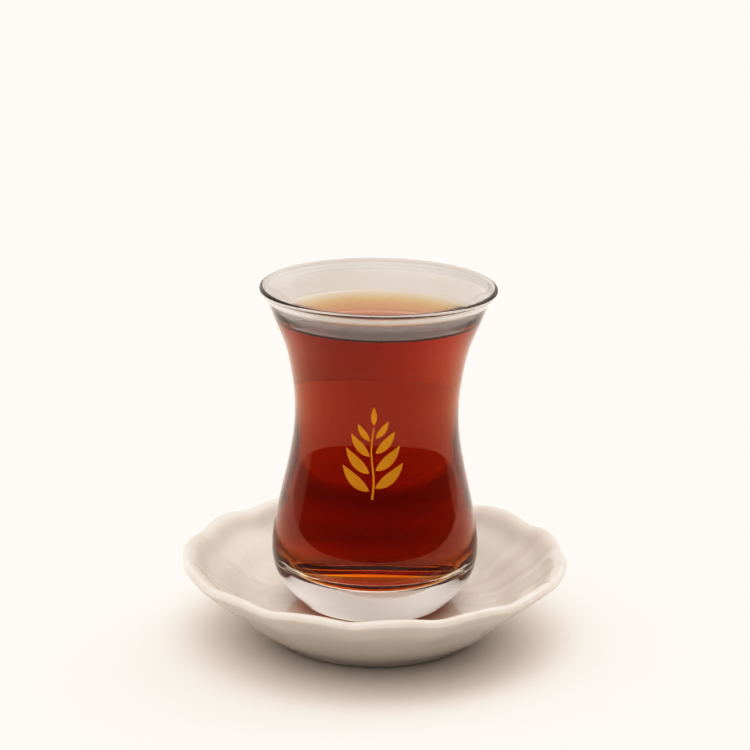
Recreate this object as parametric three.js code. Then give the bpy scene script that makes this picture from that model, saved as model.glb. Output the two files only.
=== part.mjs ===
// A waisted glass of black tea on a scalloped porcelain saucer.
// Millimetres, +Z up, origin on the table under the middle of the saucer's foot.

import * as THREE from 'three';
import { mergeVertices } from 'three/addons/utils/BufferGeometryUtils.js';

// The glass. Heights are above its own foot.
const glassHeight = 86.5;
const rimRadius = 31;
const lipRadius = 0.9;
const waistRadius = 21.6;
const waistHeight = 53.5;
const bellyRadius = 27.4;
const bellyHeight = 15.6;
const heelRadius = 24.1;
const heelHeight = 5.3;
const footRadius = 19.3;
const footRingWidth = 2.2;
const pushUp = 0.9;
const wallThickness = 1.6;
const baseThickness = 9;
const glassSegments = 56;
const wallSteps = 20;

// The outside of the glass from the foot's edge to just under the lip,
// as radius and height pairs.
const glassOutline = [
  [footRadius, 0],
  [heelRadius, heelHeight],
  [26.8, 10.8],
  [bellyRadius, bellyHeight],
  [26.7, 22.5],
  [24.6, 32.8],
  [22.4, 43.5],
  [waistRadius, waistHeight],
  [22.4, 62.5],
  [24.7, 72.3],
  [27.5, 79.2],
  [rimRadius - 1.15, glassHeight - 2.3],
];

// The floor inside the glass, as radius and height above the floor's middle.
const floorOutline = [
  [0, 0],
  [9, 0.3],
  [17, 1.8],
  [22.2, 4.6],
  [24.9, 8.6],
];

// The tea.
const teaLevel = 78.4;
const clearance = 0.3;
const teaSegments = 48;

// The saucer.
const saucerRadius = 51.4;
const saucerHeight = 22.5;
const saucerFootRadius = 27;
const saucerFootWidth = 2.6;
const wellHeight = 9;
const wellRadius = 29;
const wellThickness = 3.8;
const footRecess = 4;
const saucerLipRadius = 1.4;
const lobeCount = 14;
const segmentsPerLobe = 7;
const firstNotchAngle = THREE.MathUtils.degToRad(6.5);
const notchDip = 1.15;
const notchInset = 0.45;

// The saucer's sloping wall, inside from the well up and outside from the lip down.
const saucerInside = [
  [wellRadius, wellHeight],
  [34.6, 10.9],
  [40, 14.6],
  [45.2, 18.5],
];
const saucerOutside = [
  [48, 17.4],
  [40.4, 11],
  [33.4, 4.8],
  [saucerFootRadius + 0.9, 0.8],
];

function vector2(radius, height) {
  return new THREE.Vector2(radius, height);
}

// Points of a smooth curve through radius and height pairs, the ends included.
function smoothLine(pairs, divisions) {
  const points = pairs.map(([radius, height]) => vector2(radius, height));
  return new THREE.SplineCurve(points).getPoints(divisions);
}

// Points of an arc in the profile plane, from one angle in degrees to another.
function arcLine(centre, radius, from, to, divisions) {
  const points = [];
  for (let i = 0; i <= divisions; i += 1) {
    const angle = THREE.MathUtils.degToRad(THREE.MathUtils.lerp(from, to, i / divisions));
    points.push(vector2(
      centre.x + radius * Math.cos(angle),
      centre.y + radius * Math.sin(angle),
    ));
  }
  return points;
}

// The outer wall's line moved inwards, square to itself, by a distance.
function wallLine(distance) {
  const line = smoothLine(glassOutline, wallSteps);
  return line.map((point, i) => {
    const before = line[Math.max(i - 1, 0)];
    const after = line[Math.min(i + 1, line.length - 1)];
    const along = after.clone().sub(before).normalize();
    return vector2(point.x - along.y * distance, point.y + along.x * distance);
  });
}

// The inside of the glass from the middle of its floor up to a height.
// An inset shrinks it on all sides, as for what fills it.
function innerLine(inset, top) {
  const floor = smoothLine(
    floorOutline.map(([radius, height]) => [
      Math.max(radius - inset, 0),
      baseThickness + inset + height,
    ]),
    10,
  );
  const floorEdge = floor[floor.length - 1];
  const wall = wallLine(wallThickness + inset);
  return [...floor, ...wall.filter((point) => point.y > floorEdge.y + 1.5 && point.y < top)];
}

// A body turned about +Z from a profile that starts and ends on the axis.
function turnedBody(profile, segments) {
  const geometry = new THREE.LatheGeometry(profile, segments);
  geometry.rotateX(Math.PI / 2);
  return geometry;
}

function namedMesh(name, geometry, material) {
  const mesh = new THREE.Mesh(geometry, material);
  mesh.name = name;
  return mesh;
}

// The clear glass: open above, with a thick pushed-up base and a rounded lip.
function makeGlass() {
  const lipCentre = vector2(rimRadius - lipRadius, glassHeight - lipRadius);
  const profile = [
    vector2(0, pushUp),
    vector2(footRadius - 7, pushUp * 0.75),
    vector2(footRadius - footRingWidth, 0),
    ...smoothLine(glassOutline, wallSteps),
    ...arcLine(lipCentre, lipRadius, -40, 165, 7),
    ...innerLine(0, glassHeight - 2).reverse(),
  ];
  const material = new THREE.MeshStandardMaterial({
    color: 0xf2f4f3,
    roughness: 0.03,
    metalness: 0,
    transparent: true,
    opacity: 0.35,
  });
  return namedMesh('glass', turnedBody(profile, glassSegments), material);
}

// The tea: it fills the glass up to its level, just clear of the wall.
function makeTea() {
  const wall = wallLine(wallThickness + clearance);
  const above = wall.findIndex((point) => point.y > teaLevel);
  const low = wall[above - 1];
  const high = wall[above];
  const share = (teaLevel - low.y) / (high.y - low.y);
  const profile = [
    ...innerLine(clearance, teaLevel - 1),
    vector2(THREE.MathUtils.lerp(low.x, high.x, share), teaLevel),
    vector2(0, teaLevel),
  ];
  const material = new THREE.MeshStandardMaterial({
    color: 0x6e1206,
    roughness: 0.08,
    metalness: 0,
  });
  return namedMesh('tea', turnedBody(profile, teaSegments), material);
}

// How far a direction is into a notch between two lobes: 1 in it, 0 mid lobe.
function notchWeight(angle) {
  return Math.abs(Math.cos((angle - firstNotchAngle) * lobeCount / 2)) ** 3;
}

// The saucer's profile without its lobes: out across the well, up the wall,
// over the lip, down the outside to the foot ring and in under the well.
function saucerProfile() {
  const lipCentre = vector2(saucerRadius - saucerLipRadius, saucerHeight - saucerLipRadius);
  const ringInside = saucerFootRadius - saucerFootWidth;
  return [
    vector2(10, wellHeight),
    vector2(20, wellHeight),
    ...smoothLine(saucerInside, 8),
    ...arcLine(lipCentre, saucerLipRadius, 130, -50, 5),
    ...smoothLine(saucerOutside, 7),
    vector2(saucerFootRadius, 0),
    vector2(ringInside, 0),
    vector2(ringInside - 1, footRecess),
    vector2(12, wellHeight - wellThickness),
  ];
}

// One profile point in one direction, lower and further in at the notches.
// The flutes fade out towards the well and the foot.
function saucerPoint(point, angle) {
  const reach = THREE.MathUtils.smoothstep(point.x, wellRadius + 2, saucerRadius);
  const weight = notchWeight(angle) * reach;
  const radius = point.x - notchInset * weight;
  return [
    radius * Math.cos(angle),
    radius * Math.sin(angle),
    point.y - notchDip * weight,
  ];
}

// The porcelain saucer: rings of points joined by triangles, closed at both middles.
function makeSaucer() {
  const rings = saucerProfile();
  const around = lobeCount * segmentsPerLobe;
  const positions = [0, 0, wellHeight];
  for (const ring of rings) {
    for (let i = 0; i < around; i += 1) {
      positions.push(...saucerPoint(ring, firstNotchAngle + 2 * Math.PI * i / around));
    }
  }
  const underMiddle = positions.length / 3;
  positions.push(0, 0, wellHeight - wellThickness);

  const triangles = [];
  const lastRing = 1 + (rings.length - 1) * around;
  for (let i = 0; i < around; i += 1) {
    const next = (i + 1) % around;
    triangles.push(0, 1 + i, 1 + next);
    for (let near = 1; near < lastRing; near += around) {
      const far = near + around;
      triangles.push(near + i, far + i, far + next);
      triangles.push(near + i, far + next, near + next);
    }
    triangles.push(lastRing + i, underMiddle, lastRing + next);
  }

  const geometry = new THREE.BufferGeometry();
  geometry.setAttribute('position', new THREE.Float32BufferAttribute(positions, 3));
  geometry.setIndex(triangles);
  const closed = mergeVertices(geometry);
  closed.computeVertexNormals();
  const material = new THREE.MeshStandardMaterial({
    color: 0xece4da,
    roughness: 0.12,
    metalness: 0,
  });
  return namedMesh('saucer', closed, material);
}

const model = new THREE.Group();
model.add(makeSaucer());

// The glass and its tea stand in the saucer's well, a hair clear of the glaze.
const filledGlass = new THREE.Group();
filledGlass.position.set(0, 0, wellHeight + clearance);
filledGlass.add(makeGlass(), makeTea());
model.add(filledGlass);

export default model;
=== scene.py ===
import math

import bpy
import numpy as np
from mathutils import Matrix


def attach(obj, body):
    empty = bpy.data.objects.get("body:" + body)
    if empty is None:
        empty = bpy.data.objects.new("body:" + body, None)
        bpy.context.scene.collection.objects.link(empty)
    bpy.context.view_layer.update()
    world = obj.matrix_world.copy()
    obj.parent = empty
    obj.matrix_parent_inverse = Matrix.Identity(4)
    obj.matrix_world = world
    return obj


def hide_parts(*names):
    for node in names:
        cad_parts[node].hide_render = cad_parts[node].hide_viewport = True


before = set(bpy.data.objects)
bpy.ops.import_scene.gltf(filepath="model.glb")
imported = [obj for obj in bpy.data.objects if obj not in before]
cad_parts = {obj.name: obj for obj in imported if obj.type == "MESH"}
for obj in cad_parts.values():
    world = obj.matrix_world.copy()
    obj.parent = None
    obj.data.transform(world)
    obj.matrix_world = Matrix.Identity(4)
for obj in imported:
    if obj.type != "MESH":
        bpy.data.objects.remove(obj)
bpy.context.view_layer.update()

# A waisted glass of black tea on a scalloped porcelain saucer.
# Shapes are worked out in millimetres, +Z up, and stored in metres.
millimetre = 0.001
finePoints = 12000                    # along a curve, before they are spaced out
sharpDegrees = 35                     # edges that turn by more are shaded sharp


# Curves and surfaces

def spread(line, count, bendLength=0.0):
    # Points along a line, spaced evenly by length plus bendLength for each radian
    # that the line turns, so that tight bends get more of them.
    steps = np.diff(line, axis=0)
    lengths = np.linalg.norm(steps, axis=1)
    headings = np.unwrap(np.arctan2(steps[:, 1], steps[:, 0]))
    turns = np.abs(np.gradient(headings))
    along = np.concatenate([[0], np.cumsum(lengths + bendLength * turns)])
    wanted = np.linspace(0, along[-1], count)
    return np.stack([np.interp(wanted, along, line[:, k]) for k in range(2)], axis=1)


def smoothLine(knots, count, bendLength=0.0):
    # A natural cubic spline through the knots with the chord lengths as its
    # parameter: the second derivatives solve a banded system, and each span blends
    # its two ends' places and second derivatives.
    knots = np.array(knots, float)
    spans = np.linalg.norm(np.diff(knots, axis=0), axis=1)
    at = np.concatenate([[0], np.cumsum(spans)])
    inner = np.arange(1, len(knots) - 1)
    bands = np.eye(len(knots))
    bands[inner, inner - 1] = spans[:-1]
    bands[inner, inner] = 2 * (spans[:-1] + spans[1:])
    bands[inner, inner + 1] = spans[1:]
    slopes = np.diff(knots, axis=0) / spans[:, None]
    rates = np.zeros_like(knots)
    rates[inner] = 6 * np.diff(slopes, axis=0)
    bends = np.linalg.solve(bands, rates)
    fine = np.linspace(0, at[-1], finePoints)
    k = np.clip(np.searchsorted(at, fine, side="right") - 1, 0, len(spans) - 1)
    up = (fine - at[k])[:, None]
    down = (at[k + 1] - fine)[:, None]
    h = spans[k][:, None]
    line = (bends[k] * down**3 + bends[k + 1] * up**3) / (6 * h)
    line += (knots[k] / h - bends[k] * h / 6) * down
    line += (knots[k + 1] / h - bends[k + 1] * h / 6) * up
    return spread(line, count, bendLength)


def smoothStep(values, low, high):
    # 0 up to low, 1 from high, and between them share^2 * (3 - 2 * share).
    share = np.clip((values - low) / (high - low), 0, 1)
    return share**2 * (3 - 2 * share)


def unitHeadings(line):
    headings = np.gradient(line, axis=0)
    return headings / np.linalg.norm(headings, axis=1)[:, None]


def shifted(line, distance):
    # Each point moved square to the line, to the left of its heading.
    headings = unitHeadings(line)
    return line + distance * np.stack([-headings[:, 1], headings[:, 0]], axis=1)


def lipKnots(piece):
    # Points on the lip's round edge, at its angles, which just reaches the rim's
    # radius and height.
    angles = np.radians(piece["lipDegrees"])
    middle = np.array([piece["rimRadius"], piece["rimHeight"]]) - piece["lipRadius"]
    return middle + piece["lipRadius"] * np.stack([np.cos(angles), np.sin(angles)], axis=1)


def ringFaces(rings, around):
    # Quads between neighbouring rings of points, and a fan to one point at each end.
    # Point 0 is the first middle, then the rings, then the last middle. The faces
    # look out where the profile runs from the underside up the outside.
    i = np.arange(around)
    j = (i + 1) % around
    starts = 1 + around * np.arange(rings - 1)[:, None]
    quads = np.stack([starts + i, starts + j, starts + around + j, starts + around + i], axis=-1)
    last = 1 + around * (rings - 1)
    firstFan = np.stack([np.zeros_like(i), 1 + j, 1 + i], axis=1)
    lastFan = np.stack([last + i, last + j, np.full_like(i, last + around)], axis=1)
    return quads.reshape(-1, 4).tolist() + firstFan.tolist() + lastFan.tolist()


def ringSurface(radii, heights, angles, ends):
    # Rings round +Z, a row for each ring and a column for each angle: the points are
    # (radius * cos(angle), radius * sin(angle), height). A point on the axis at each
    # of the two end heights closes the surface.
    shape = (len(radii), len(angles))
    rings = np.stack([
        radii * np.cos(angles), radii * np.sin(angles), np.broadcast_to(heights, shape),
    ], axis=-1)
    points = np.concatenate([[[0, 0, ends[0]]], rings.reshape(-1, 3), [[0, 0, ends[1]]]])
    return points, ringFaces(*shape)


def turned(profile, around):
    # A surface of revolution: the same radius and height at every angle. The
    # profile's first and last points lie on the axis.
    angles = 2 * np.pi * np.arange(around) / around
    return ringSurface(profile[1:-1, :1], profile[1:-1, 1:], angles, profile[[0, -1], 1])


def newPiece(name, points, faces, materials, slots=None):
    mesh = bpy.data.meshes.new(name)
    mesh.from_pydata((np.asarray(points) * millimetre).tolist(), [], faces)
    mesh.polygons.foreach_set("use_smooth", np.ones(len(mesh.polygons), dtype=bool))
    for material in materials:
        mesh.materials.append(material)
    if slots is not None:
        mesh.polygons.foreach_set("material_index", slots.astype(np.int32))
    mesh.update()
    mesh.set_sharp_from_angle(angle=math.radians(sharpDegrees))
    piece = bpy.data.objects.new(name, mesh)
    bpy.context.scene.collection.objects.link(piece)
    print(name, "has", len(mesh.polygons), "faces")
    return piece


# Tools for materials

def newMaterial(name):
    material = bpy.data.materials.new(name)
    material.use_nodes = True
    return material, material.node_tree, material.node_tree.nodes["Principled BSDF"]


def newGroup(name, inputs, outputs):
    # Inputs and outputs give each socket's name and kind.
    group = bpy.data.node_groups.new(name, "ShaderNodeTree")
    for side, sockets in (("INPUT", inputs), ("OUTPUT", outputs)):
        for socket, kind in sockets.items():
            group.interface.new_socket(socket, in_out=side, socket_type="NodeSocket" + kind)
    return group, group.nodes.new("NodeGroupInput"), group.nodes.new("NodeGroupOutput")


def addNode(tree, kind, values=None, **settings):
    node = tree.nodes.new(kind)
    for key, value in settings.items():
        setattr(node, key, value)
    setPlain(node, values or {})
    return node


def setPlain(node, values):
    for key, value in values.items():
        node.inputs[key].default_value = value


def feed(tree, socket, value):
    # A socket takes a link from another one, or else a plain colour or number.
    if isinstance(value, bpy.types.NodeSocket):
        tree.links.new(value, socket)
    else:
        socket.default_value = (*value, 1) if isinstance(value, tuple) else value


def liveSocket(sockets, name):
    # A Mix node has one socket of each name for each kind of data, and one is in use.
    return next(s for s in sockets if s.name == name and s.enabled)


def addMix(tree, factor, first, second, blend="MIX"):
    node = addNode(tree, "ShaderNodeMix", data_type="RGBA", blend_type=blend)
    feed(tree, node.inputs["Factor"], factor)
    feed(tree, liveSocket(node.inputs, "A"), first)
    feed(tree, liveSocket(node.inputs, "B"), second)
    return liveSocket(node.outputs, "Result")


def addMath(tree, operation, first, second):
    node = addNode(tree, "ShaderNodeMath", operation=operation)
    feed(tree, node.inputs[0], first)
    feed(tree, node.inputs[1], second)
    return node.outputs["Value"]


def addRange(tree, value, start, end, low=0.0, high=1.0, curve="LINEAR"):
    # Low at start, high at end, and held past both.
    node = addNode(tree, "ShaderNodeMapRange", {
        "From Min": start, "From Max": end, "To Min": low, "To Max": high,
    }, interpolation_type=curve)
    tree.links.new(value, node.inputs["Value"])
    return node.outputs["Result"]


def addHeading(tree, vector):
    # The level part of a vector, one unit long.
    level = addNode(tree, "ShaderNodeVectorMath", operation="MULTIPLY")
    tree.links.new(vector, level.inputs[0])
    level.inputs[1].default_value = (1, 1, 0)
    heading = addNode(tree, "ShaderNodeVectorMath", operation="NORMALIZE")
    tree.links.new(level.outputs["Vector"], heading.inputs[0])
    return heading.outputs["Vector"]


def makeDriftGroup():
    # A slow drift between two colours, and a low wave for a bump, both read from a
    # place on the object. Every finish on this object uses it with its own values.
    group, start, end = newGroup("softDrift", {
        "Place": "Vector", "First Colour": "Color", "Second Colour": "Color",
        "Drift Scale": "Float", "Wave Scale": "Float",
    }, {"Colour": "Color", "Drift": "Float", "Wave": "Float"})
    drift = addNode(group, "ShaderNodeTexNoise", {"Detail": 3.0, "Roughness": 0.5})
    wave = addNode(group, "ShaderNodeTexNoise", {"Detail": 1.0, "Roughness": 0.4})
    colours = start.outputs["First Colour"], start.outputs["Second Colour"]
    mixed = addMix(group, drift.outputs["Fac"], *colours)
    join = group.links.new
    join(start.outputs["Place"], drift.inputs["Vector"])
    join(start.outputs["Drift Scale"], drift.inputs["Scale"])
    join(start.outputs["Place"], wave.inputs["Vector"])
    join(start.outputs["Wave Scale"], wave.inputs["Scale"])
    join(mixed, end.inputs["Colour"])
    join(drift.outputs["Fac"], end.inputs["Drift"])
    join(wave.outputs["Fac"], end.inputs["Wave"])
    return group


def makeHeightGroup():
    # A mask that is 0 at the start height and rises evenly to full at the end height.
    group, start, end = newGroup("heightMask", {
        "Place": "Vector", "Start": "Float", "End": "Float", "Full": "Float",
    }, {"Mask": "Float"})
    parts = addNode(group, "ShaderNodeSeparateXYZ")
    rise = addNode(group, "ShaderNodeMapRange")
    join = group.links.new
    join(start.outputs["Place"], parts.inputs["Vector"])
    join(parts.outputs["Z"], rise.inputs["Value"])
    join(start.outputs["Start"], rise.inputs["From Min"])
    join(start.outputs["End"], rise.inputs["From Max"])
    join(start.outputs["Full"], rise.inputs["To Max"])
    join(rise.outputs["Result"], end.inputs["Mask"])
    return group


driftGroup = makeDriftGroup()
heightGroup = makeHeightGroup()


def addGroup(tree, group, values):
    # Every group reads its place from the object's own coordinates.
    node = addNode(tree, "ShaderNodeGroup", values, node_tree=group)
    place = addNode(tree, "ShaderNodeTexCoord")
    tree.links.new(place.outputs["Object"], node.inputs["Place"])
    return node


def addDrift(tree, piece, colours):
    first, second = colours
    return addGroup(tree, driftGroup, {
        "First Colour": (*first, 1), "Second Colour": (*second, 1),
        "Drift Scale": piece["driftScale"], "Wave Scale": piece["waveScale"],
    })


def addHeightMask(tree, start, end, full):
    return addGroup(tree, heightGroup, {
        "Start": start * millimetre, "End": end * millimetre, "Full": full,
    }).outputs["Mask"]


def addWaveBump(tree, shader, piece, drift):
    height = piece["waveHeight"] * millimetre
    bump = addNode(tree, "ShaderNodeBump", {"Strength": 1.0, "Distance": height})
    tree.links.new(drift.outputs["Wave"], bump.inputs["Height"])
    tree.links.new(bump.outputs["Normal"], shader.inputs["Normal"])


def addRoughness(tree, shader, piece, drift):
    rough = addRange(tree, drift.outputs["Drift"], 0.0, 1.0, *piece["roughness"])
    tree.links.new(rough, shader.inputs["Roughness"])


# Camera: where the photo was taken from, by a solve of the rim and the foot line

view = {
    "place": (-0.6, -650.0, 260.3),
    "pitchDegrees": 16.21,
    "rollDegrees": 0.85,
    "focalPixels": 2586.0,
    "frameWidth": 750,
    "sensorWidth": 36.0,
    "clipStart": 50.0,
}


def makeCamera():
    data = bpy.data.cameras.new("camera")
    data.sensor_width = view["sensorWidth"]
    data.lens = view["focalPixels"] / view["frameWidth"] * view["sensorWidth"]
    data.clip_start = view["clipStart"] * millimetre
    camera = bpy.data.objects.new("camera", data)
    bpy.context.scene.collection.objects.link(camera)
    tilt = Matrix.Rotation(math.radians(90 - view["pitchDegrees"]), 4, "X")
    roll = Matrix.Rotation(math.radians(view["rollDegrees"]), 4, "Z")
    place = Matrix.Translation([v * millimetre for v in view["place"]])
    camera.matrix_world = place @ tilt @ roll
    bpy.context.scene.camera = camera
    print("camera placed")


# The glass

glass = {
    "foot": 9.1,                      # height of its foot over the table
    "outside": [                      # radius and height over its foot
        (0, 0.9), (8, 0.75), (14, 0.25), (17, 0.0), (18.8, 0.15), (19.9, 0.95),
        (24.1, 5.3), (26.8, 10.8), (27.4, 15.6), (26.7, 22.5), (24.6, 32.8),
        (22.4, 43.5), (21.6, 53.5), (22.4, 62.5), (24.7, 72.3), (27.5, 79.2),
        (29.8, 84.0),
    ],
    "rimRadius": 31.0,
    "rimHeight": 86.5,
    "lipRadius": 0.75,
    "lipDegrees": (-35, 0, 40, 90, 140, 175),
    "wall": 1.6,
    "wallAtLip": 1.2,
    "thinning": (66.0, 84.0),         # heights over its foot between which it thins
    "floor": [(0, 9.0), (10, 9.25), (17.8, 10.4), (22.8, 12.8), (25.1, 16.6)],
    "floorGap": 3.0,                  # height left for the curve from floor to wall
    "lipGap": 3.5,                    # height left for the curve from wall to lip
    "outsideSteps": 600,
    "wallKnots": 40,
    "rows": 380,
    "bendLength": 6,
    "around": 192,
    "colours": ((0.845, 0.835, 0.825), (0.875, 0.865, 0.85)),
    "wetColours": ((0.85, 0.825, 0.805), (0.87, 0.845, 0.825)),
    "thickColour": (0.76, 0.765, 0.76),  # tints the thick base
    "thickHeights": (22.0, 14.0),     # over the table, between which that tint grows
    "driftScale": 30,
    "waveScale": 45,
    "waveHeight": 0.01,
    "refraction": 1.51,
}


def glassInside():
    # The inside of the glass from the middle of its floor to just under the lip: the
    # floor's knots, then the outside moved in by the wall, which thins towards the
    # lip with a smooth step.
    outside = smoothLine(glass["outside"], glass["outsideSteps"])
    thinner = smoothStep(outside[:, 1:], *glass["thinning"])
    wall = shifted(outside, glass["wall"] + (glass["wallAtLip"] - glass["wall"]) * thinner)
    low = glass["floor"][-1][1] + glass["floorGap"]
    high = glass["rimHeight"] - glass["lipGap"]
    wall = wall[(wall[:, 1] > low) & (wall[:, 1] < high)]
    return np.concatenate([glass["floor"], spread(wall, glass["wallKnots"])])


def makeGlassMaterial(name, colours, sheen):
    # Sheen scales the reflection that is seen square to the surface.
    material, tree, shader = newMaterial(name)
    drift = addDrift(tree, glass, colours)
    thick = addHeightMask(tree, *glass["thickHeights"], 1.0)
    tinted = addMix(tree, thick, drift.outputs["Colour"], glass["thickColour"], "MULTIPLY")
    tree.links.new(tinted, shader.inputs["Base Color"])
    addWaveBump(tree, shader, glass, drift)
    setPlain(shader, {
        "Roughness": 0.0,
        "Metallic": 0.0,
        "IOR": glass["refraction"],
        "Transmission Weight": 1.0,
        "Specular Tint": (sheen, sheen, sheen, 1),
    })
    return material


def makeGlass():
    # One line runs from under the foot up the outside, round the lip and down the
    # inside to the middle of the floor, and goes round +Z.
    knots = np.concatenate([glass["outside"], lipKnots(glass), glassInside()[::-1]])
    profile = smoothLine(knots, glass["rows"], glass["bendLength"])
    profile[[0, -1], 0] = 0
    # Where tea wets the inside, the wall hardly reflects: those faces come second.
    inside = np.arange(1, len(profile) - 2) > np.argmax(profile[:, 1])
    wet = inside & (profile[1:-2, 1] < tea["level"] + tea["climb"])
    slots = np.repeat(np.append(wet, [False, True]), glass["around"])
    profile[:, 1] += glass["foot"]
    materials = [
        makeGlassMaterial("clearGlass", glass["colours"], 1.0),
        makeGlassMaterial("wetGlass", glass["wetColours"], 0.0),
    ]
    piece = newPiece("teaGlass", *turned(profile, glass["around"]), materials, slots)
    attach(piece, "root")
    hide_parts("glass")


# The tea

tea = {
    "level": 78.25,                   # over the foot of the glass
    "reach": 0.08,                    # how far it runs into the wall
    "climb": 0.9,                     # height of the edge that climbs the wall
    "climbWidth": 0.7,
    "fineSteps": 3000,
    "rows": 150,                      # for its body, and again for its surface
    "bodyBendLength": 4,
    "surfaceBendLength": 15,
    "around": 192,
    "colours": ((1.0, 1.0, 1.0), (0.99, 0.985, 0.97)),
    "driftScale": 40,
    "waveScale": 25,
    "waveHeight": 0.005,
    "refraction": 1.333,
    "sheen": 0.2,
    "film": 0.6,                      # strength of the shiny film on top
    "filmDepths": (0.25, 0.15),       # under the level, between which the film starts
    "absorbColour": (0.917, 0.67, 0.0),
    "absorbDensity": 240.0,
}


def makeTeaMaterial():
    material, tree, shader = newMaterial("blackTea")
    join = tree.links.new
    drift = addDrift(tree, tea, tea["colours"])
    join(drift.outputs["Colour"], shader.inputs["Base Color"])
    addWaveBump(tree, shader, tea, drift)
    setPlain(shader, {
        "Roughness": 0.0,
        "Metallic": 0.0,
        "IOR": tea["refraction"],
        "Transmission Weight": 1.0,
        "Specular Tint": (*[tea["sheen"]] * 3, 1),
    })
    # The surface carries a thin film that shines more than the tea itself.
    top = glass["foot"] + tea["level"]
    start, end = (top - depth for depth in tea["filmDepths"])
    join(addHeightMask(tree, start, end, tea["film"]), shader.inputs["Coat Weight"])
    # The deeper the tea, the less light comes through, and the redder it is.
    absorb = addNode(tree, "ShaderNodeVolumeAbsorption", {
        "Color": (*tea["absorbColour"], 1), "Density": tea["absorbDensity"],
    })
    join(absorb.outputs["Volume"], tree.nodes["Material Output"].inputs["Volume"])
    return material


def makeTea():
    # The body follows the inside of the glass from the middle of its floor up. The
    # surface falls from the wall as climb * exp(-distance / climbWidth).
    inside = shifted(smoothLine(glassInside(), tea["fineSteps"]), -tea["reach"])
    body = inside[inside[:, 1] < tea["level"] + tea["climb"]]
    edgeRadius = body[-1, 0]
    radii = np.linspace(edgeRadius, 0, tea["fineSteps"])
    heights = tea["level"] + tea["climb"] * np.exp((radii - edgeRadius) / tea["climbWidth"])
    surface = np.stack([radii, heights], axis=1)
    profile = np.concatenate([
        spread(body, tea["rows"], tea["bodyBendLength"]),
        spread(surface, tea["rows"], tea["surfaceBendLength"])[1:],
    ])
    profile[[0, -1], 0] = 0
    profile[:, 1] += glass["foot"]
    piece = newPiece("blackTea", *turned(profile, tea["around"]), [makeTeaMaterial()])
    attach(piece, "root")
    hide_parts("tea")


# The gilt sprig on the front of the glass

sprig = {
    "middle": -0.9,                   # sideways from the middle of the front
    "foot": 45.0,                     # height of the stem's lower end over the table
    "stem": 18.5,                     # length of the stem
    "stemWidth": 0.32,                # half width of the stem at its foot
    "stemTaper": 0.45,                # share of that width lost at its top
    "sway": 0.35,                     # how far the stem swings to each side
    "swayTurns": 1.1,
    "leaves": [                       # place up the stem, length, lean in degrees
        (2.2, 9.6, 66), (6.6, 9.0, 60), (11.0, 7.6, 54), (15.0, 5.6, 47),
    ],
    "stagger": 0.8,                   # the right leaves stand this much higher
    "bud": 5.0,
    "leafWidth": 0.15,                # half width as a share of the length
    "leafBend": 0.5,                  # share of the lean lost at the leaf's tip
    "tipWidth": 0.02,
    "gap": 0.75,                      # between the stem and a leaf
    "clearance": 0.01,                # between the print and the glass
    "lift": 0.05,                     # height of the print's face over the glass
    "steps": 28,
    "across": 7,
    "wallSteps": 900,
    "colours": ((0.54, 0.26, 0.02), (0.68, 0.35, 0.04)),
    "roughness": (0.38, 0.55),
    "driftScale": 160,
    "waveScale": 400,
    "waveHeight": 0.01,
    "metallic": 0.35,
    "refraction": 1.45,
}


def makeGiltMaterial():
    material, tree, shader = newMaterial("giltPrint")
    drift = addDrift(tree, sprig, sprig["colours"])
    tree.links.new(drift.outputs["Colour"], shader.inputs["Base Color"])
    addRoughness(tree, shader, sprig, drift)
    addWaveBump(tree, shader, sprig, drift)
    setPlain(shader, {"Metallic": sprig["metallic"], "IOR": sprig["refraction"]})
    return material


def onWall(flat, lift):
    # Flat points (sideways, height) laid on the outside of the glass: each goes round
    # by sideways / radius from the middle of the front, and stands off by lift.
    wall = shifted(smoothLine(glass["outside"], sprig["wallSteps"]), -lift)
    wall = wall[np.argmin(wall[:, 1]):]
    radii = np.interp(flat[..., 1], wall[:, 1] + glass["foot"], wall[:, 0])
    angles = flat[..., 0] / radii - np.pi / 2
    return np.stack([radii * np.cos(angles), radii * np.sin(angles), flat[..., 1]], axis=-1)


def printedStroke(line, halfWidths):
    # A closed thin patch along a flat line: across it the points stand at
    # line + side * halfWidth, side from -1 to 1, once on the glass and once lifted.
    headings = unitHeadings(line)
    aside = np.stack([headings[:, 1], -headings[:, 0]], axis=1)
    sides = np.linspace(-1, 1, sprig["across"])
    flat = line[:, None] + (halfWidths[:, None] * sides)[..., None] * aside[:, None]
    rows, across = flat.shape[:2]
    points = np.concatenate([
        onWall(flat, sprig["clearance"]).reshape(-1, 3),
        onWall(flat, sprig["lift"]).reshape(-1, 3),
    ])
    grid = np.arange(rows * across).reshape(rows, across)
    low = np.stack([grid[:-1, :-1], grid[1:, :-1], grid[1:, 1:], grid[:-1, 1:]], axis=-1)
    high = low[..., ::-1] + grid.size
    border = np.concatenate([grid[0, :-1], grid[:-1, -1], grid[-1, :0:-1], grid[:0:-1, 0]])
    after = np.roll(border, -1)
    rim = np.stack([border, after, after + grid.size, border + grid.size], axis=1)
    faces = np.concatenate([low.reshape(-1, 4), high.reshape(-1, 4), rim])
    return points, faces


def leafLine(start, length, lean, side):
    # A leaf leaves its place at the lean from upright and bends up. Its half width is
    # tipWidth + leafWidth * length * sin(pi * share^0.85)^0.9.
    share = np.linspace(0, 1, sprig["steps"])
    angle = np.radians(lean) * (1 - sprig["leafBend"] * share)
    steps = length / (len(share) - 1) * np.stack([side * np.sin(angle), np.cos(angle)], axis=1)
    line = start + np.cumsum(steps, axis=0) - steps[0]
    swell = np.sin(np.pi * share**0.85) ** 0.9
    return line, sprig["tipWidth"] + sprig["leafWidth"] * length * swell


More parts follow.
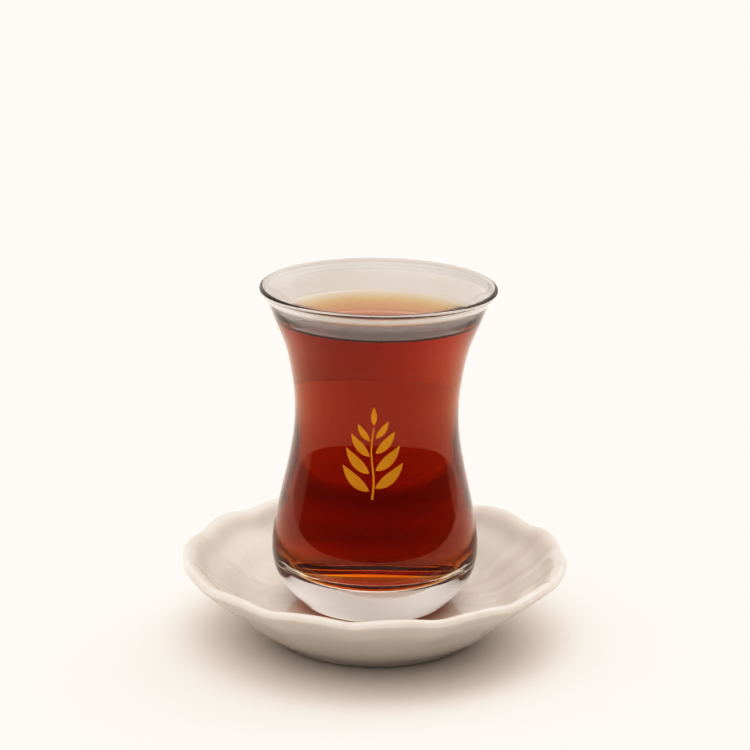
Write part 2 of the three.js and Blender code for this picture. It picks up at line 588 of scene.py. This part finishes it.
def makeSprig():
    # The stem's sideways place is sway * sin(2 * pi * swayTurns * share).
    share = np.linspace(0, 1, sprig["steps"])
    foot = np.array([sprig["middle"], sprig["foot"]])
    swing = sprig["sway"] * np.sin(2 * np.pi * sprig["swayTurns"] * share)
    stem = foot + np.stack([swing, sprig["stem"] * share], axis=1)
    strokes = [(stem, sprig["stemWidth"] * (1 - sprig["stemTaper"] * share))]
    strokes.append(leafLine(stem[-1] + [0, sprig["gap"]], sprig["bud"], 0, 1))
    for place, length, lean in sprig["leaves"]:
        for side in (-1, 1):
            start = foot + [side * sprig["gap"], place + sprig["stagger"] * (side > 0)]
            strokes.append(leafLine(start, length, lean, side))
    points, faces, count = [], [], 0
    for line, widths in strokes:
        strokePoints, strokeFaces = printedStroke(line, widths)
        points.append(strokePoints)
        faces.extend((strokeFaces + count).tolist())
        count += len(strokePoints)
    piece = newPiece("giltSprig", np.concatenate(points), faces, [makeGiltMaterial()])
    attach(piece, "root")


# The saucer

saucer = {
    "inside": [                       # radius and height over the table
        (0, 9.0), (12, 9.0), (22, 9.0), (28.5, 9.05), (34.6, 10.8), (40, 14.5),
        (45.2, 18.5),
    ],
    "rimRadius": 51.4,
    "rimHeight": 22.5,
    "lipRadius": 1.4,
    "lipDegrees": (120, 75, 30, -15, -60),
    "outside": [
        (48.2, 17.5), (40.4, 11), (33.4, 4.8), (28.0, 0.9), (26.6, 0.0),
        (25.2, 0.0), (24.2, 0.8), (23.4, 3.6), (21, 4.9), (12, 5.2), (0, 5.2),
    ],
    "lobes": 14,
    "firstNotchDegrees": 6.5,
    "notchDip": 0.95,
    "notchInset": 0.4,
    "wellRadius": 29.0,
    "creaseDepth": 0.5,               # of the crease below each notch, on the inside
    "rows": 230,
    "bendLength": 5,
    "pointsPerLobe": 26,
    "colours": ((0.735, 0.70, 0.657), (0.77, 0.735, 0.69)),
    "streakColour": (0.955, 0.93, 0.92),
    "streakScale": 9.0,
    "streakLevels": (0.5, 0.68),      # of the noise, between which a streak fades in
    # painted shade: downward faces are darkened by this colour
    "underColour": (0.74, 0.75, 0.755),
    "underShadeSlopes": (-0.3, 0.1),       # slopes between which the painted shade gives way to the upper colour
    "roughness": (0.015, 0.04),
    "driftScale": 25,
    "waveScale": 60,
    "waveHeight": 0.03,
    "refraction": 1.5,
}


def makePorcelainMaterial():
    material, tree, shader = newMaterial("glazedPorcelain")
    join = tree.links.new
    drift = addDrift(tree, saucer, saucer["colours"])
    colour = drift.outputs["Colour"]
    # Faint streaks run out from the middle: noise read from the direction alone.
    place = addNode(tree, "ShaderNodeTexCoord")
    noise = {"Scale": saucer["streakScale"], "Detail": 3.0}
    streaks = addNode(tree, "ShaderNodeTexNoise", noise)
    join(addHeading(tree, place.outputs["Object"]), streaks.inputs["Vector"])
    streaked = addRange(tree, streaks.outputs["Fac"], *saucer["streakLevels"])
    upper = addMix(tree, streaked, colour, saucer["streakColour"], "MULTIPLY")
    # Painted shade: what faces down is darkened by a duller colour and has no streaks.
    under = addMix(tree, 1.0, colour, saucer["underColour"], "MULTIPLY")
    parts = addNode(tree, "ShaderNodeSeparateXYZ")
    join(place.outputs["Normal"], parts.inputs["Vector"])
    facing = addRange(tree, parts.outputs["Z"], *saucer["underShadeSlopes"])
    join(addMix(tree, facing, under, upper), shader.inputs["Base Color"])
    addRoughness(tree, shader, saucer, drift)
    addWaveBump(tree, shader, saucer, drift)
    setPlain(shader, {"Metallic": 0.0, "IOR": saucer["refraction"]})
    return material


def makeSaucer():
    # The profile goes round +Z. In each direction its points sink and move inwards
    # by a notch weight, |cos|^3 of half the lobe angle, that grows from 0 at the
    # well's edge to 1 at the rim. On the inside |cos|^6 also sinks a crease, by
    # creaseDepth * sin(pi * share^0.55): deepest low on the wall, gone at the rim.
    knots = np.concatenate([saucer["inside"], lipKnots(saucer), saucer["outside"]])[::-1]
    profile = smoothLine(knots, saucer["rows"], saucer["bendLength"])
    profile[:, 1] = np.maximum(profile[:, 1], 0)
    around = saucer["lobes"] * saucer["pointsPerLobe"]
    start = math.radians(saucer["firstNotchDegrees"])
    angles = start + 2 * np.pi * np.arange(around) / around
    radii, heights = profile[1:-1, :1], profile[1:-1, 1:]
    wallWidth = saucer["rimRadius"] - saucer["wellRadius"]
    share = np.clip((radii - saucer["wellRadius"]) / wallWidth, 0, 1)
    wave = np.abs(np.cos((angles - start) * saucer["lobes"] / 2))
    weight = smoothStep(share, 0, 1) * wave**3
    inside = (np.arange(1, len(profile) - 1) > np.argmax(profile[:, 1]))[:, None]
    crease = inside * np.sin(np.pi * share**0.55) * wave**6
    radii = radii - saucer["notchInset"] * weight
    heights = heights - saucer["notchDip"] * weight - saucer["creaseDepth"] * crease
    surface = ringSurface(radii, heights, angles, profile[[0, -1], 1])
    piece = newPiece("lobedSaucer", *surface, [makePorcelainMaterial()])
    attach(piece, "root")
    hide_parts("saucer")


# Floor and light

studio = {
    "floorSize": 8000.0,
    "floorColour": (0.86, 0.835, 0.81),
    "floorRoughness": 0.9,
    "sheetMiddle": (0.0, 0.06, 0.0),
    "sheetEdge": 0.4,                 # gloss sees the floor this far around, in metres
    "shadeThroughGlass": 0.71,             # painted shade: the floor's colour is scaled by this as seen through glass
    "lightColour": (1.0, 0.905, 0.84),
    "walls": 0.72,                    # light from around the horizon
    "lobes": [                        # direction, sharpness and strength of each soft light
        ((0.45, 0.42, 0.79), 7, 2.2),
        ((-0.28, 0.0, 0.96), 4, 2.3),
        ((-0.42, 0.89, 0.18), 8, 0.5),
        ((0.0, -0.6, 0.8), 8, 0.5),
    ],
    "openingLight": 0.22,             # the share of the light that glass and gloss see there
    "openingFill": 0.75,              # and the share of it that lights matt surfaces
    "openingTowards": (0.087, -0.996, 0.0),
    "openingLevels": (0.2, 0.45),     # heights of a direction over which it closes
    "openingEdge": (-0.21, -0.17),    # how far round it reaches, with its soft edge
    "backdrop": (0.93, 0.9, 0.86),
}


def makeFloor():
    half = studio["floorSize"] / 2
    corners = np.array([[-half, -half, 0], [half, -half, 0], [half, half, 0], [-half, half, 0]])
    material, tree, shader = newMaterial("paleTable")
    join = tree.links.new
    setPlain(shader, {"Roughness": studio["floorRoughness"], "Specular IOR Level": 0.0})
    ray = addNode(tree, "ShaderNodeLightPath").outputs
    # Painted shade: rays that come through glass see the floor drawn darker.
    paintedDim = tuple(part * studio["shadeThroughGlass"] for part in studio["floorColour"])
    shade = addMix(tree, ray["Is Transmission Ray"], studio["floorColour"], paintedDim)
    join(shade, shader.inputs["Base Color"])
    # Reflections see a round sheet of it, and past its edge the room's own light.
    place = addNode(tree, "ShaderNodeTexCoord")
    away = addNode(tree, "ShaderNodeVectorMath", operation="DISTANCE")
    join(place.outputs["Object"], away.inputs[0])
    away.inputs[1].default_value = studio["sheetMiddle"]
    past = addMath(tree, "GREATER_THAN", away.outputs["Value"], studio["sheetEdge"])
    mix = addNode(tree, "ShaderNodeMixShader")
    join(addMath(tree, "MULTIPLY", past, ray["Is Glossy Ray"]), mix.inputs["Fac"])
    join(shader.outputs["BSDF"], mix.inputs[1])
    join(addNode(tree, "ShaderNodeBsdfTransparent").outputs["BSDF"], mix.inputs[2])
    join(mix.outputs["Shader"], tree.nodes["Material Output"].inputs["Surface"])
    newPiece("floor", corners, [[0, 1, 2, 3]], [material])


def addDot(tree, vector, direction):
    node = addNode(tree, "ShaderNodeVectorMath", operation="DOT_PRODUCT")
    tree.links.new(vector, node.inputs[0])
    node.inputs[1].default_value = direction
    return node.outputs["Value"]


def makeRoom():
    # A pale tent that is open in front. With z the height of a direction, its light
    # is walls * (1 - z^2)^2 plus, for each soft light, strength * (cosine of the angle
    # to it)^sharpness. Only a share of it is left in the opening, which closes higher
    # up with a smooth step.
    world = bpy.data.worlds.new("paleTent")
    bpy.context.scene.world = world
    world.use_nodes = True
    tree = world.node_tree
    towards = addNode(tree, "ShaderNodeTexCoord").outputs["Generated"]
    height = addDot(tree, towards, (0, 0, 1))
    slope = addMath(tree, "SUBTRACT", 1.0, addMath(tree, "MULTIPLY", height, height))
    total = addMath(tree, "MULTIPLY", addMath(tree, "POWER", slope, 2.0), studio["walls"])
    for direction, sharpness, strength in studio["lobes"]:
        facing = addMath(tree, "MAXIMUM", addDot(tree, towards, direction), 0.0)
        lobe = addMath(tree, "MULTIPLY", addMath(tree, "POWER", facing, sharpness), strength)
        total = addMath(tree, "ADD", lobe, total)

    frontness = addDot(tree, addHeading(tree, towards), studio["openingTowards"])
    edge = addRange(tree, frontness, *studio["openingEdge"], curve="SMOOTHSTEP")
    levels = addRange(tree, height, *studio["openingLevels"], 1.0, 0.0, "SMOOTHSTEP")
    opening = addMath(tree, "MULTIPLY", edge, levels)
    ray = addNode(tree, "ShaderNodeLightPath").outputs
    clear = addMath(tree, "MAXIMUM", ray["Is Glossy Ray"], ray["Is Transmission Ray"])
    share = addRange(tree, clear, 0.0, 1.0, studio["openingFill"], studio["openingLight"])
    lost = addMath(tree, "MULTIPLY", opening, addMath(tree, "SUBTRACT", 1.0, share))
    total = addMath(tree, "MULTIPLY", total, addMath(tree, "SUBTRACT", 1.0, lost))

    # The camera itself sees a plain pale backdrop.
    tint = addNode(tree, "ShaderNodeVectorMath", operation="SCALE")
    tint.inputs[0].default_value = studio["lightColour"]
    tree.links.new(total, tint.inputs["Scale"])
    seen = addMix(tree, ray["Is Camera Ray"], tint.outputs["Vector"], studio["backdrop"])
    tree.links.new(seen, tree.nodes["Background"].inputs["Color"])
    print("room lit")


look = {
    "whiteLevel": 1.2,
    "tones": [                        # light in the scene and light in the picture
        (0.035, 0.0085), (0.063, 0.022), (0.115, 0.055), (0.2, 0.133), (0.289, 0.23),
        (0.43, 0.4), (0.55, 0.54), (0.65, 0.655), (0.75, 0.755), (0.85, 0.845),
        (1.0, 0.93), (1.2, 0.985),
    ],
    "clearBounces": 24,               # enough for a ray to get through glass and tea
    "glossyBounces": 8,
    "diffuseBounces": 4,
}


def setLook():
    # The picture's tones follow a camera's curve: deep darks, full lights.
    scene = bpy.context.scene
    scene.view_settings.view_transform = "Standard"
    scene.view_settings.use_curve_mapping = True
    mapping = scene.view_settings.curve_mapping
    mapping.white_level = [look["whiteLevel"]] * 3
    curve = mapping.curves[3]
    *middle, last = look["tones"]
    curve.points[-1].location = (last[0] / look["whiteLevel"], last[1])
    for light, tone in middle:
        curve.points.new(light / look["whiteLevel"], tone)
    mapping.update()
    scene.cycles.use_denoising = True
    scene.cycles.max_bounces = look["clearBounces"]
    scene.cycles.transmission_bounces = look["clearBounces"]
    scene.cycles.glossy_bounces = look["glossyBounces"]
    scene.cycles.diffuse_bounces = look["diffuseBounces"]
    print("look set")


makeCamera()
makeGlass()
makeTea()
makeSprig()
makeSaucer()
makeFloor()
makeRoom()
setLook()
